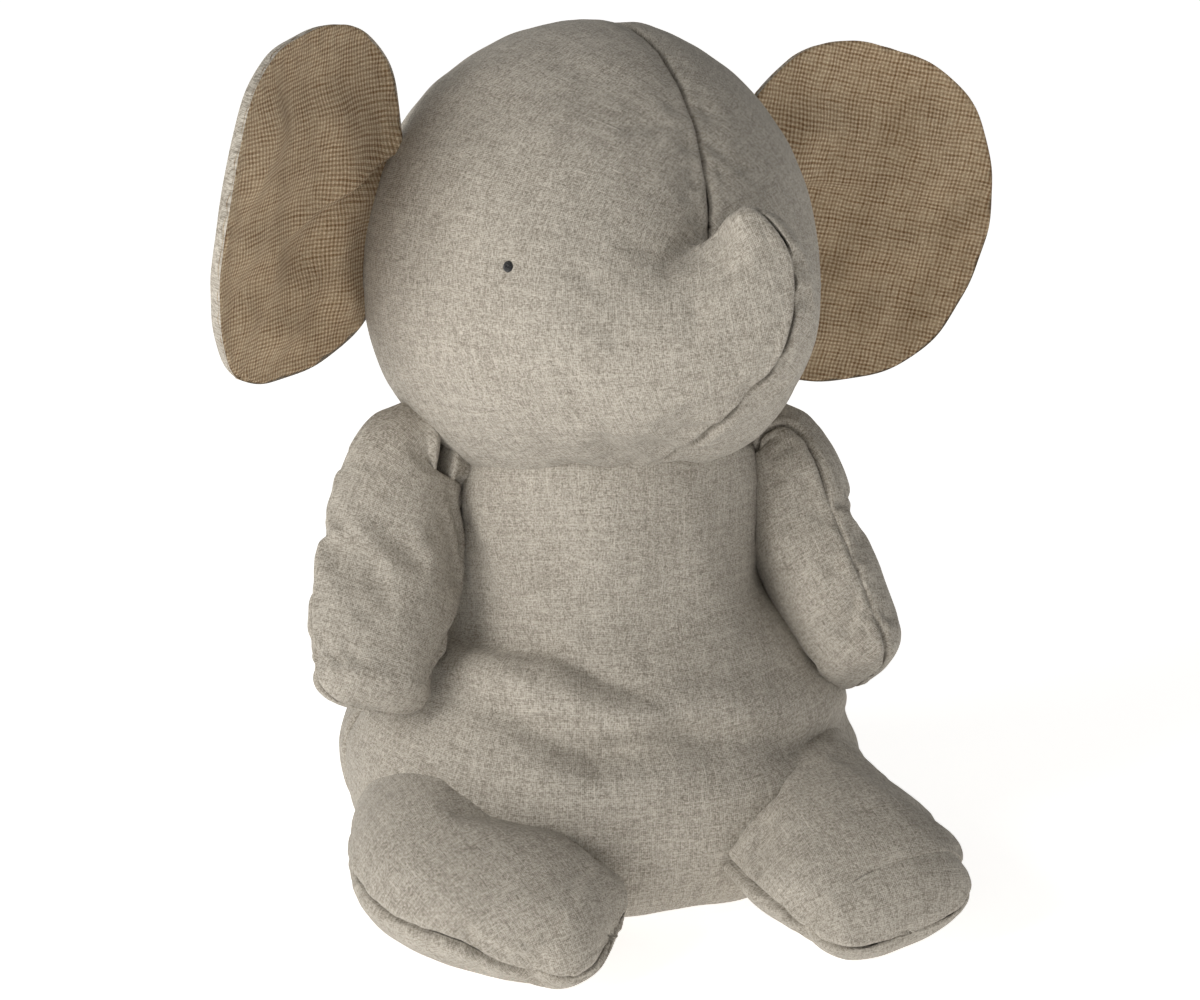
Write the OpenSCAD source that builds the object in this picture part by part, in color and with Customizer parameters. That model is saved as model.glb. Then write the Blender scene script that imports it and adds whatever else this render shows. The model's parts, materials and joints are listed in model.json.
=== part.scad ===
// Seated stuffed elephant sewn from linen, as separate panels over their stuffing,
// with the joints a soft toy has.
// Millimetres. Z up, the toy faces -Y, its right side is -X.
// The origin is the middle of the seat's flat underside.

/* [Cloth] */
// Thickness of a sewn panel with its lining
cloth = 1.4; // [1:0.1:2]
// Running gap between two pieces that move against each other
gap = 0.5; // [0.3:0.1:1]

/* [Torso] */
// Half width of the pear at the hips
hip_half_width = 104; // [94:1:108]
// Half width at the waist, under the arms
waist_half_width = 58; // [52:1:64]
// Depth of the torso as a share of its width
torso_depth = 0.83; // [0.75:0.01:0.95]
// Half width of the flat patch it sits on
seat_half_width = 60; // [50:1:70]
// Height of the pellet bag's top
pouch_top = 24; // [18:1:30]

/* [Neck] */
// Height of the neck seam's centre
neck_height = 171.5; // [165:0.5:178]
// How far behind the seat's centre the neck seam sits
neck_back = 13; // [8:1:18]
// Radius of the neck seam
neck_radius = 54; // [50:0.5:58]
// Backward lean of the neck seam's axis
neck_lean = 15.6; // [10:0.1:20]

/* [Head] */
// Half width, half depth and half height of the head
head_half = [87.5, 90, 94]; // [60:0.5:110]
// Centre of the head
head_centre = [-4, 34, 245]; // [-10:1:260]
// How far the head looks to the toy's left
head_yaw = 19; // [0:1:30]
// How far the head tilts to the toy's left
head_roll = 12; // [0:1:16]
// Radius of an embroidered eye
eye_radius = 2.4; // [1.5:0.1:3]

/* [Trunk] */
// Radius of the trunk's rounded root
trunk_root_radius = 33; // [28:0.5:36]
// Radius near the trunk's tip
trunk_tip_radius = 12; // [9:0.5:15]

/* [Ears] */
// Height of an ear
ear_height = 143; // [120:1:150]
// Width of an ear from its root, along its curve
ear_width = 118; // [100:1:134]
// Half thickness in the middle of an ear
ear_half_thickness = 6.5; // [4:0.5:9]
// Angle in degrees that the left ear curls forward through from its root to its outer edge
ear_curl_left = 45; // [20:1:90]
// The same angle for the right ear
ear_curl_right = 32; // [20:1:90]

/* [Arms] */
// Radius of an arm's rounded root
arm_root_radius = 23; // [18:0.5:26]
// Half width of the paw
arm_half_width = 29; // [24:0.5:32]
// Half thickness of the paw
arm_half_depth = 21; // [16:0.5:24]

/* [Legs] */
// Radius of a leg's rounded root
leg_root_radius = 34; // [28:0.5:38]
// Half width of the foot
leg_half_width = 34; // [28:0.5:38]
// Half height of the foot
leg_half_height = 31; // [26:0.5:34]

/* [Tail] */
// Length of the tail with its tuft
tail_length = 52; // [40:1:60]
// Radius of the tail
tail_radius = 5; // [3:0.5:7]

/* [Hidden] */
linen = [0.62, 0.59, 0.54];
linen_shade = [0.56, 0.53, 0.48];
check_cloth = [0.58, 0.47, 0.36];
wool = [0.9, 0.88, 0.83];
black = [0.1, 0.1, 0.1];
$fn = 72;
// The neck seam's centre and axis; the head turns about this axis and nods about X through this centre.
neck_point = [0, neck_back, neck_height];
neck_axis = [0, sin(neck_lean), cos(neck_lean)];
neck_cup = neck_radius + gap + 0.3;
// Height below the neck seam at which the torso's rim stops, which leaves the head room to nod.
rim_drop = 12;
rim_radius = sqrt(neck_cup * neck_cup - rim_drop * rim_drop);
// Joints of the limbs.
trunk_joint = [0, -80, -14];
arm_joint = [76, 10, 150];
leg_joint = [66, -38, 42];
tail_joint = [0, 3.5 + hip_half_width * 0.97 * torso_depth, 62];
ring = 40;

// ---- Vectors and rows of points ----
function unit(v) = v / norm(v);
function cat(l) = [for (a = l) for (b = a) b];
// A smooth curve through the rows of a table, t from 0 to 1.
function mix4(a, b, c, d, u) =
    b + 0.5 * u * (c - a + u * (2 * a - 5 * b + 4 * c - d + u * (3 * (b - c) + d - a)));
function along(tab, t) =
    let(n = len(tab) - 1, s = min(max(t, 0), 0.99999) * n, k = floor(s), u = s - k)
    mix4(tab[max(k - 1, 0)], tab[k], tab[k + 1], tab[min(k + 2, n)], u);
// Points of one section: centre c, side axis ex, other axis ey, half sizes a and b,
// angles from a0 to a1 in n steps.
function arc_row(c, ex, ey, a, b, a0, a1, n) =
    [for (i = [0:n]) let(t = a0 + (a1 - a0) * i / n) c + a * cos(t) * ex + b * sin(t) * ey];
// The same section as a closed ring, with no point twice.
function full_row(c, ex, ey, a, b, n) =
    [for (i = [0:n - 1]) let(t = 360 * i / n) c + a * cos(t) * ex + b * sin(t) * ey];

// ---- Closed solids from rows ----
// A row of one point is a pole. start(R, i) is where row i begins in the flat point list.
function start(R, i) = i == 0 ? 0 : start(R, i - 1) + len(R[i - 1]);
function starts(R, i = 0, s = 0) = i >= len(R) ? [] : concat([s], starts(R, i + 1, s + len(R[i])));
function pick(R, S, B, i, j) = B + S[i] + (len(R[i]) == 1 ? 0 : j % len(R[i]));
// Triangles of the surface through rows R, over m columns; flip turns them over. From row turn on, the squares are
// cut along their other diagonal, so that two pieces whose rows run opposite ways share the same triangles.
function web(R, S, B, m, flip, turn = 1e6) = cat([for (i = [0:len(R) - 2]) cat([for (j = [0:m - 1])
    let(p = pick(R, S, B, i, j), q = pick(R, S, B, i + 1, j),
        r = pick(R, S, B, i + 1, j + 1), s = pick(R, S, B, i, j + 1),
        low = i < turn ? [p, q, r] : [q, r, s], high = i < turn ? [p, r, s] : [p, q, s])
    concat(q == r ? [] : [flip ? turned(low) : low], p == s ? [] : [flip ? turned(high) : high])])]);
function turned(t) = [t[0], t[2], t[1]];
// A solid whose rows are rings, with a pole at each end.
module ring_solid(R, flip = false, turn = 1e6) {
    S = starts(R);
    polyhedron(points = cat(R), faces = web(R, S, 0, max([for (r = R) len(r)]), flip, turn), convexity = 8);
}
// A wall between the edge rows of the two faces of a panel.
function wall(P, Q, flip) = cat([for (i = [0:len(P) - 2])
    concat(P[i] == P[i + 1] ? [] : [flip ? [P[i], P[i + 1], Q[i + 1]] : [P[i], Q[i + 1], P[i + 1]]],
           Q[i] == Q[i + 1] ? [] : [flip ? [P[i], Q[i + 1], Q[i]] : [P[i], Q[i], Q[i + 1]]])]);
// A panel between outer rows O and inner rows I, which have the same shape; a first or last row may be a pole.
module panel_solid(O, I, flip = false) {
    SO = starts(O);
    SI = starts(I);
    B = SO[len(O) - 1] + len(O[len(O) - 1]);
    m = max([for (r = O) len(r)]) - 1;
    k = len(O) - 1;
    first_o = [for (j = [0:m]) pick(O, SO, 0, 0, j)];
    first_i = [for (j = [0:m]) pick(I, SI, B, 0, j)];
    last_o = [for (j = [0:m]) pick(O, SO, 0, k, j)];
    last_i = [for (j = [0:m]) pick(I, SI, B, k, j)];
    side0_o = [for (i = [0:k]) pick(O, SO, 0, i, 0)];
    side0_i = [for (i = [0:k]) pick(I, SI, B, i, 0)];
    side1_o = [for (i = [0:k]) pick(O, SO, 0, i, m)];
    side1_i = [for (i = [0:k]) pick(I, SI, B, i, m)];
    polyhedron(points = concat(cat(O), cat(I)),
        faces = concat(web(O, SO, 0, m, flip), web(I, SI, B, m, !flip),
            len(O[0]) > 1 ? wall(first_o, first_i, !flip) : [],
            len(O[k]) > 1 ? wall(last_o, last_i, flip) : [],
            wall(side0_o, side0_i, flip), wall(side1_o, side1_i, !flip)),
        convexity = 8);
}

// ---- Torso: a leaning pear with a cup on top for the neck's ball ----
// Rows: height, lean, half width, half depth, backward shift; the last row is the rim of the cup.
torso_rows = [
    [0, 0, seat_half_width, seat_half_width * 0.8, 0],
    [4, 0, hip_half_width * 0.8, hip_half_width * 0.8 * torso_depth, 0],
    [13, 0, hip_half_width * 0.91, hip_half_width * 0.91 * torso_depth, 1],
    [26, 0, hip_half_width * 0.975, hip_half_width * 0.975 * torso_depth, 1],
    [44, 0, hip_half_width, hip_half_width * torso_depth, 2],
    [62, 0, hip_half_width * 0.97, hip_half_width * 0.97 * torso_depth, 3],
    [80, 2, hip_half_width * 0.88, hip_half_width * 0.88 * torso_depth, 5],
    [98, 4, hip_half_width * 0.75, hip_half_width * 0.77 * torso_depth, 7],
    [114, 7, waist_half_width * 1.09, waist_half_width * 1.0, 8],
    [130, 10, waist_half_width, waist_half_width * 0.94, 9],
    [146, 13, waist_half_width * 0.96, waist_half_width * 0.93, 10]];
function lean_y(t) = [0, cos(t), -sin(t)];
function torso_section(k, th, a0, a1, n) =
    let(r = torso_rows[k])
    arc_row([0, r[4], r[0] + (k == 0 ? th : 0)], [1, 0, 0], lean_y(r[1]), r[2] - th, r[3] - th, a0, a1, n);
function rim_section(th, a0, a1, n) =
    let(r = rim_radius + th)
    arc_row(neck_point - rim_drop * neck_axis, [1, 0, 0], lean_y(neck_lean), r, r, a0, a1, n);
function torso_panel_rows(th, rim_th, a0, a1, n) = concat([[[0, 0, th]]],
    [for (k = [0:len(torso_rows) - 1]) torso_section(k, th, a0, a1, n)], [rim_section(rim_th, a0, a1, n)]);
function open_ring(row) = [for (i = [0:len(row) - 2]) row[i]];
// Rings of the cup, from its rim down to its pole.
cup_steps = 7;
cup_rim_angle = asin(rim_drop / neck_cup);
function cup_ring(i) =
    let(f = cup_rim_angle + (90 - cup_rim_angle) * i / cup_steps, r = neck_cup * cos(f))
    full_row(neck_point - neck_cup * sin(f) * neck_axis, [1, 0, 0], lean_y(neck_lean), r, r, ring);
module leg_scoops() {
    for (s = [-1, 1]) {
        translate([s * leg_joint[0], leg_joint[1], leg_joint[2]]) sphere(r = leg_root_radius + gap);
        translate([s * (leg_joint[0] + 3), leg_joint[1] - 12, leg_joint[2]]) sphere(r = leg_half_width + 8);
        translate([s * (leg_joint[0] + 4), leg_joint[1] - 40, leg_joint[2]]) sphere(r = leg_half_width + 17);
    }
}
module arm_scoops() {
    for (s = [-1, 1]) {
        translate([s * arm_joint[0], arm_joint[1], arm_joint[2]]) sphere(r = arm_root_radius + gap);
        translate([s * 86, -6, 136]) scale([1, 0.95, 1]) sphere(r = arm_half_width + 5);
        translate([s * 96, -20, 112]) sphere(r = arm_half_width + 9);
    }
}
module torso_shell(a0, a1, n) {
    panel_solid(torso_panel_rows(0, cloth, a0, a1, n), torso_panel_rows(cloth, 0, a0, a1, n));
}
module torso_front_panel() {
    color(linen)
        difference() {
            torso_shell(180, 360, ring / 2);
            leg_scoops();
            arm_scoops();
        }
}
module torso_back_left_panel() {
    color(linen_shade)
        difference() {
            torso_shell(0, 90, ring / 4);
            leg_scoops();
            arm_scoops();
        }
}
module torso_back_right_panel() {
    color(linen_shade)
        difference() {
            torso_shell(90, 180, ring / 4);
            leg_scoops();
            arm_scoops();
        }
}
// Row index of the pellet bag's top ring.
pouch_row = 3;
function inner_rings(k0, k1) = [for (k = [k0:k1]) open_ring(torso_section(k, cloth, 0, 360, ring))];
module seat_pellet_pouch() {
    color(wool)
        difference() {
            ring_solid(concat([[[0, 0, cloth]]], inner_rings(0, pouch_row),
                [[[0, 1, torso_rows[pouch_row][0]]]]));
            leg_scoops();
        }
}
module torso_stuffing() {
    color(wool)
        difference() {
            ring_solid(concat([[[0, 1, torso_rows[pouch_row][0]]]],
                inner_rings(pouch_row, len(torso_rows) - 1),
                [for (i = [0:cup_steps - 1]) cup_ring(i)], [[neck_point - neck_cup * neck_axis]]));
            leg_scoops();
            arm_scoops();
        }
}

// ---- Neck: a ball in the torso's cup, cut flat where the head sits on it ----
module neck_frame() {
    translate(neck_point) rotate([-neck_lean, 0, 0]) children();
}
module neck_stuffing() {
    color(wool)
        neck_frame()
            intersection() {
                sphere(r = neck_radius);
                translate([0, 0, -50]) cube([200, 200, 100], center = true);
            }
}

// ---- Head: an egg in two side panels that meet along its middle, front and back ----
module head_frame() {
    translate(head_centre) rotate([0, 0, head_yaw]) rotate([0, head_roll, 0]) children();
}
// Rows of the egg run from under to crown at these heights in degrees; th is how far inside the cloth.
egg_steps = 16;
function egg_height(i) = -90 + 180 * i / egg_steps;
function egg_row(i, th, a0, a1, n) =
    let(e = egg_height(i), z = (head_half[2] - th) * sin(e), c = cos(e))
    i == 0 || i == egg_steps ? [[0, 0, z]]
    : arc_row([0, 0, z], [1, 0, 0], [0, 1, 0], (head_half[0] - th) * c, (head_half[1] - th) * c, a0, a1, n);
module egg_solid(th) {
    ring_solid([for (i = [0:egg_steps])
        let(r = egg_row(i, th, -90, 270, 32)) len(r) == 1 ? r : open_ring(r)]);
}
// Everything the head is cut back by: the neck's flat and the trunk's socket.
module head_cuts() {
    neck_frame() translate([0, 0, gap - 150]) cube([300, 300, 300], center = true);
    head_frame() translate(trunk_joint) sphere(r = trunk_root_radius + gap);
    head_frame() translate(trunk_joint + [0, -24, 15]) sphere(r = trunk_root_radius - 1);
}
module egg_panel(a0, a1, n) {
    difference() {
        head_frame()
            panel_solid([for (i = [0:egg_steps]) egg_row(i, 0, a0, a1, n)],
                [for (i = [0:egg_steps]) egg_row(i, cloth, a0, a1, n)]);
        head_cuts();
    }
}
module head_left_panel() {
    color(linen_shade) egg_panel(-90, 90, 16);
}
module head_right_panel() {
    color(linen) egg_panel(90, 270, 16);
}
module head_stuffing() {
    color(wool)
        difference() {
            head_frame() egg_solid(cloth);
            head_cuts();
        }
}
// An eye sits on the egg at this angle from straight ahead and at this height
// above the egg's middle, in degrees.
eye_angle = 50;
eye_height = 6.5;
function egg_point(az, up) =
    [head_half[0] * sin(az) * cos(up), -head_half[1] * cos(az) * cos(up), head_half[2] * sin(up)];
module eye_knot(s) {
    color(black)
        head_frame()
            difference() {
                translate(egg_point(s * eye_angle, eye_height)) sphere(r = eye_radius, $fn = 16);
                egg_solid(0);
            }
}
module eye_left() {
    eye_knot(1);
}
module eye_right() {
    eye_knot(-1);
}

// ---- Limbs: a curved path with a rounded root, in panels over a stuffing ----
// Table rows: x, y, z, half width, half height. w is the direction the half width is measured along.
function tube_centre(T, t) = let(p = along(T, t)) [p[0], p[1], p[2]];
function tube_dir(T, t) = unit(tube_centre(T, min(t + 0.02, 0.9999)) - tube_centre(T, max(t - 0.02, 0)));
// Rows along the path: the root's round end, the table, then the rounded tip; th is how far inside the cloth.
function root_angle(i, n) = -90 + 90 * i / n;
function limb_rows(T, w, th, a0, a1, n, steps, tip_steps) =
    let(p0 = along(T, 0), d0 = tube_dir(T, 0), u0 = unit(cross(d0, w)), w0 = cross(u0, d0),
        c0 = tube_centre(T, 0), r0 = p0[3], p1 = along(T, 1), d1 = tube_dir(T, 1), u1 = unit(cross(d1, w)),
        w1 = cross(u1, d1), c1 = tube_centre(T, 1), tip = min(p1[3], p1[4]))
    concat([[c0 - (r0 - th) * d0]],
        [for (i = [1:4]) let(f = root_angle(i, 5))
            arc_row(c0 + (r0 - th) * sin(f) * d0, w0, u0, (r0 - th) * cos(f), (r0 - th) * cos(f), a0, a1, n)],
        [for (i = [0:steps])
            let(t = i / steps, p = along(T, t), d = tube_dir(T, t), u = unit(cross(d, w)), v = cross(u, d))
            arc_row([p[0], p[1], p[2]], v, u, p[3] - th, p[4] - th, a0, a1, n)],
        [for (i = [1:tip_steps - 1])
            let(f = 90 * i / tip_steps, a = (p1[3] - th) * cos(f), b = (p1[4] - th) * cos(f))
            arc_row(c1 + (0.85 * tip - th) * sin(f) * d1, w1, u1, a, b, a0, a1, n)],
        [[c1 + (0.85 * tip - th) * d1]]);
module limb_panel(T, w, a0, a1, n, steps, tip_steps) {
    panel_solid(limb_rows(T, w, 0, a0, a1, n, steps, tip_steps),
        limb_rows(T, w, cloth, a0, a1, n, steps, tip_steps));
}
module limb_stuffing(T, w, n, steps, tip_steps) {
    R = limb_rows(T, w, cloth, 0, 360, n, steps, tip_steps);
    ring_solid([for (r = R) len(r) == 1 ? r : open_ring(r)]);
}

// Trunk, in the head's frame: from its ball forward, then curling up.
trunk_table = [
    [0, trunk_joint[1], trunk_joint[2], trunk_root_radius, trunk_root_radius],
    [0, -95, -14, 30, 30],
    [0, -105, -5, 26, 26],
    [0, -109, 11, 20, 21],
    [0, -112, 26, 15, 16.5],
    [0, -113, 39, trunk_tip_radius, trunk_tip_radius + 0.5]];
module trunk_panel(a0) {
    head_frame() limb_panel(trunk_table, [1, 0, 0], a0, a0 + 180, 10, 9, 3);
}
module trunk_left_panel() {
    color(linen_shade) trunk_panel(-90);
}
module trunk_right_panel() {
    color(linen) trunk_panel(90);
}
module trunk_stuffing() {
    color(wool) head_frame() limb_stuffing(trunk_table, [1, 0, 0], 20, 9, 3);
}

// Arms hang outward and forward over the hips; the left one turns its edge to the front.
arm_left_table = [
    [arm_joint[0], arm_joint[1], arm_joint[2], arm_root_radius, arm_root_radius],
    [83, -3, 138, 26, 20],
    [90, -18, 119, arm_half_width, arm_half_depth],
    [95, -31, 104, arm_half_width - 2, arm_half_depth - 2],
    [97, -38, 97, arm_half_width - 6, arm_half_depth - 4]];
arm_right_table = [
    [-arm_joint[0], arm_joint[1], arm_joint[2], arm_root_radius, arm_root_radius],
    [-89, -5, 138, 26, 20],
    [-99, -22, 120, arm_half_width, arm_half_depth],
    [-103, -36, 106, arm_half_width - 1, arm_half_depth - 1],
    [-104, -44, 98, arm_half_width - 5, arm_half_depth - 3]];
function arm_table(s) = s > 0 ? arm_left_table : arm_right_table;
function arm_side(s) = s > 0 ? unit([0.45, -0.84, 0.3]) : unit([-0.95, -0.2, 0.24]);
module arm_panel(s, a0) {
    limb_panel(arm_table(s), arm_side(s), a0, a0 + 180, 10, 8, 3);
}
module arm_fill(s) {
    limb_stuffing(arm_table(s), arm_side(s), 20, 8, 3);
}
module arm_left_outer_panel() {
    color(linen_shade) arm_panel(1, 0);
}
module arm_left_inner_panel() {
    color(linen) arm_panel(1, 180);
}
module arm_left_stuffing() {
    color(wool) arm_fill(1);
}
module arm_right_outer_panel() {
    color(linen) arm_panel(-1, 180);
}
module arm_right_inner_panel() {
    color(linen_shade) arm_panel(-1, 0);
}
module arm_right_stuffing() {
    color(wool) arm_fill(-1);
}

// Legs lie forward; both feet point a little to the toy's left.
leg_left_table = [
    [leg_joint[0], leg_joint[1], leg_joint[2], leg_root_radius, leg_root_radius],
    [73, -60, 40, leg_half_width + 1, leg_half_height + 2],
    [83, -84, 37, leg_half_width + 2, leg_half_height + 1],
    [93, -106, 33, leg_half_width - 2, leg_half_height - 1]];
leg_right_table = [
    [-leg_joint[0], leg_joint[1], leg_joint[2], leg_root_radius, leg_root_radius],
    [-77, -60, 40, leg_half_width + 2, leg_half_height + 2],
    [-71, -84, 37, leg_half_width + 3, leg_half_height + 1],
    [-50, -104, 33, leg_half_width - 3, leg_half_height - 1]];
module leg_panel(T, a0) {
    limb_panel(T, [1, 0, 0], a0, a0 + 180, 12, 8, 4);
}
module leg_left_upper_panel() {
    color(linen) leg_panel(leg_left_table, 0);
}
module leg_left_under_panel() {
    color(linen_shade) leg_panel(leg_left_table, 180);
}
module leg_left_stuffing() {
    color(wool) limb_stuffing(leg_left_table, [1, 0, 0], 24, 8, 4);
}
module leg_right_upper_panel() {
    color(linen) leg_panel(leg_right_table, 0);
}
module leg_right_under_panel() {
    color(linen_shade) leg_panel(leg_right_table, 180);
}
module leg_right_stuffing() {
    color(wool) limb_stuffing(leg_right_table, [1, 0, 0], 24, 8, 4);
}

// ---- Ears: a leaf, cupped forward, in three layers ----
// The leaf lies on a curved sheet: s runs along the curve from the root, z up; both in the head's frame.
// Where the root meets the head, in degrees from straight ahead,
// and the ear's direction there, degrees backward.
// The lift is its root's height above the head's middle, and the lean tips its top towards the head.
function ear_azimuth(s) = s > 0 ? 112 : 110;
function ear_start(s) = s > 0 ? 9 : -14;
function ear_lift(s) = s > 0 ? 20 : 12;
function ear_lean(s) = s > 0 ? 2 : 8;
function ear_root(s) = [head_half[0] * sin(ear_azimuth(s)), -head_half[1] * cos(ear_azimuth(s))];
// Radius of the head's outline in the leaf's sheet, and the same with the running gap.
ear_head = 91;
ear_head_clear = ear_head + 5;
function ear_leaf(f) =
    let(c = cos(f), s = sin(f))
    1 / pow(pow(abs(c) / (ear_width * 0.52), 2.3) + pow(abs(s) / (ear_height * 0.5), 2.3), 1 / 2.3);
// Distance at angle f from the leaf's centre back to the head's outline, a circle about the head's centre.
ear_centre = ear_width * 0.48;
function ear_to_head(s, f) =
    let(a = ear_lean(s), x = -ear_head * cos(a) + ear_lift(s) * sin(a) - ear_centre,
        y = -ear_head * sin(a) - ear_lift(s) * cos(a), toward = x * cos(f) + y * sin(f),
        inside = toward * toward - x * x - y * y + ear_head_clear * ear_head_clear)
    inside <= 0 || toward <= 0 ? 1e6 : toward - sqrt(inside);
function ear_radius(s, f) = min(ear_leaf(f), ear_to_head(s, f));
// Half thickness of the whole ear and of its wadding at share r of the radius.
function ear_half(r) = 1.7 + (ear_half_thickness - 1.7) * pow(max(1 - pow(r, 3), 0), 0.7);
function ear_core(r) = max(ear_half(r) - cloth, 0.4);
ear_steps = 5;
ear_ring = 36;
// One point: s is the side of the head, h the distance from the middle layer towards the front.
function ear_turn(s) = (s > 0 ? ear_curl_left : ear_curl_right) / ear_width;
function ear_point(s, r, f, h) =
    let(q = ear_centre + r * ear_radius(s, f) * cos(f), z = r * ear_radius(s, f) * sin(f), t = ear_lean(s),
        a = ear_start(s), b = a - ear_turn(s) * (q * cos(t) + z * sin(t)), k = ear_turn(s) * PI / 180)
    [s * (ear_root(s)[0] + (sin(a) - sin(b)) / k + h * sin(b)),
     ear_root(s)[1] + (cos(b) - cos(a)) / k - h * cos(b), ear_lift(s) + z * cos(t) - q * sin(t)];
function ear_row(s, r, sign, core) =
    let(h = sign * (core ? ear_core(r) : ear_half(r)))
    r == 0 ? [ear_point(s, 0, 0, h)] : [for (j = [0:ear_ring - 1]) ear_point(s, r, 360 * j / ear_ring, h)];
function ear_face(s, sign, core, up) =
    [for (i = [0:ear_steps]) ear_row(s, (up ? i : ear_steps - i) / ear_steps, sign, core)];
// A layer between a front face, whose rows run outward, and a back face, whose rows run inward.
module ear_layer(front, back, flip) {
    ring_solid(concat(front, back), flip, len(front));
}
module ear_front(s) {
    head_frame() ear_layer(ear_face(s, 1, false, true), ear_face(s, 1, true, false), s > 0);
}
module ear_back(s) {
    head_frame() ear_layer(ear_face(s, -1, true, true), ear_face(s, -1, false, false), s > 0);
}
module ear_wadding(s) {
    head_frame() ear_layer(ear_face(s, 1, true, true), ear_face(s, -1, true, false), s > 0);
}
module ear_left_front() {
    color(check_cloth) ear_front(1);
}
module ear_left_back() {
    color(linen_shade) ear_back(1);
}
module ear_left_wadding() {
    color(wool) ear_wadding(1);
}
module ear_right_front() {
    color(check_cloth) ear_front(-1);
}
module ear_right_back() {
    color(linen_shade) ear_back(-1);
}
module ear_right_wadding() {
    color(wool) ear_wadding(-1);
}

// ---- Tail: a cord with a tuft, hanging behind ----
module tail_cord() {
    color(linen)
        translate(tail_joint + [0, tail_radius + 1.5, 0])
            rotate([14, 0, 0]) {
                sphere(r = tail_radius);
                translate([0, 0, 12 - tail_length]) cylinder(r = tail_radius, h = tail_length - 12);
            }
}
module tail_tuft() {
    color(linen_shade)
        translate(tail_joint + [0, tail_radius + 1.5, 0])
            rotate([14, 0, 0])
                translate([0, 0, 12 - tail_length])
                    difference() {
                        scale([0.7, 0.7, 1]) sphere(r = 12);
                        cylinder(r = tail_radius, h = 30);
                    }
}

torso_front_panel();
torso_back_left_panel();
torso_back_right_panel();
torso_stuffing();
seat_pellet_pouch();
neck_stuffing();
head_left_panel();
head_right_panel();
head_stuffing();
eye_left();
eye_right();
trunk_left_panel();
trunk_right_panel();
trunk_stuffing();
ear_left_front();
ear_left_back();
ear_left_wadding();
ear_right_front();
ear_right_back();
ear_right_wadding();
arm_left_outer_panel();
arm_left_inner_panel();
arm_left_stuffing();
arm_right_outer_panel();
arm_right_inner_panel();
arm_right_stuffing();
leg_left_upper_panel();
leg_left_under_panel();
leg_left_stuffing();
leg_right_upper_panel();
leg_right_under_panel();
leg_right_stuffing();
tail_cord();
tail_tuft();
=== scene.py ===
# %% [markdown]
# # A seated linen elephant, sewn and stuffed
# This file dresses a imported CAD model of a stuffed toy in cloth. The CAD gives the bodies, their joints and the
# space each part may take. Here every part gets its sewn skin: panels of linen that meet in seams, filled until
# they are round, with the folds the toy gets from sitting. Lengths inside the shapes are millimetres, as a
# pattern maker writes them, and they become metres when a mesh is made.

# %% Load the frame
import json
import math

import bpy
import numpy as np
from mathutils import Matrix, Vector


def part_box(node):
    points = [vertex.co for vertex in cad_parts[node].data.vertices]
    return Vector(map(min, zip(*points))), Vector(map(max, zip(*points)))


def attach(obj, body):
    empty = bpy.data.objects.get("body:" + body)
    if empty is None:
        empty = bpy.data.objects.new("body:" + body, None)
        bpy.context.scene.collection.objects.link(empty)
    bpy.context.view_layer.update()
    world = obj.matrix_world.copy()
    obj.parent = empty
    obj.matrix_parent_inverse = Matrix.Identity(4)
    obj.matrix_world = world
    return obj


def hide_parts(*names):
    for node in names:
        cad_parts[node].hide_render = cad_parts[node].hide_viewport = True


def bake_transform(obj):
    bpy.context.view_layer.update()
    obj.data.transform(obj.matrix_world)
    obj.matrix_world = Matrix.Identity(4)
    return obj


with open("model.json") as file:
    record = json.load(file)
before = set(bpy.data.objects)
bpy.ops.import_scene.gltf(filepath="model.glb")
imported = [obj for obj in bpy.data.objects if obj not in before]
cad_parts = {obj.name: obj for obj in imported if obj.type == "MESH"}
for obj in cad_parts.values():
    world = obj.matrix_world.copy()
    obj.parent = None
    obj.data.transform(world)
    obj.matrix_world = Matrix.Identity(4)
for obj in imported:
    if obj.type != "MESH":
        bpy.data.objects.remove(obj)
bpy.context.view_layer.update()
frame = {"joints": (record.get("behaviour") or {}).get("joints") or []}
MM = 0.001
JOINTS = {j["name"]: j for j in frame["joints"]}


def joint_point(name):
    """A joint's pivot in millimetres."""
    return np.array(JOINTS[name]["pos_m"], float) * 1000


# %% [markdown]
# ## Camera, floor and light
# The toy is seen by a long lens from a little to its right and above. A large soft lamp stands on that side, a
# pale floor throws light up under the feet, and a weak sky, dimmer overhead than at the horizon, fills the shade.

# %% Camera, floor and light
AZIMUTH, ELEVATION, DISTANCE = math.radians(-10), math.radians(21), 1.9
TARGET = np.array([-4.9, -0.8, 155.3]) * MM
back = np.array([math.sin(AZIMUTH) * math.cos(ELEVATION), -math.cos(AZIMUTH) * math.cos(ELEVATION),
                 math.sin(ELEVATION)])
camera_data = bpy.data.cameras.new("camera")
camera = bpy.data.objects.new("camera", camera_data)
bpy.context.scene.collection.objects.link(camera)
camera.location = TARGET + back * DISTANCE
camera.rotation_euler = (math.pi / 2 - ELEVATION, 0, AZIMUTH)
SENSOR, VIEW_WIDTH = 36, 0.480
camera_data.sensor_width = SENSOR
camera_data.lens = SENSOR * DISTANCE / VIEW_WIDTH
camera_data.clip_start, camera_data.clip_end = 0.05, 30
bpy.context.scene.camera = camera


def lamp(name, place, aim, size, power, colour):
    """A square soft lamp at place, turned to face aim."""
    data = bpy.data.lights.new(name, "AREA")
    data.shape, data.size, data.energy, data.color = "SQUARE", size, power, colour
    obj = bpy.data.objects.new(name, data)
    bpy.context.scene.collection.objects.link(obj)
    way = np.array(aim, float) - np.array(place, float)
    obj.location = place
    flat = math.hypot(way[0], way[1])
    obj.rotation_euler = (math.atan2(flat, -way[2]), 0, math.atan2(way[1], way[0]) - math.pi / 2)
    return obj


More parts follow.
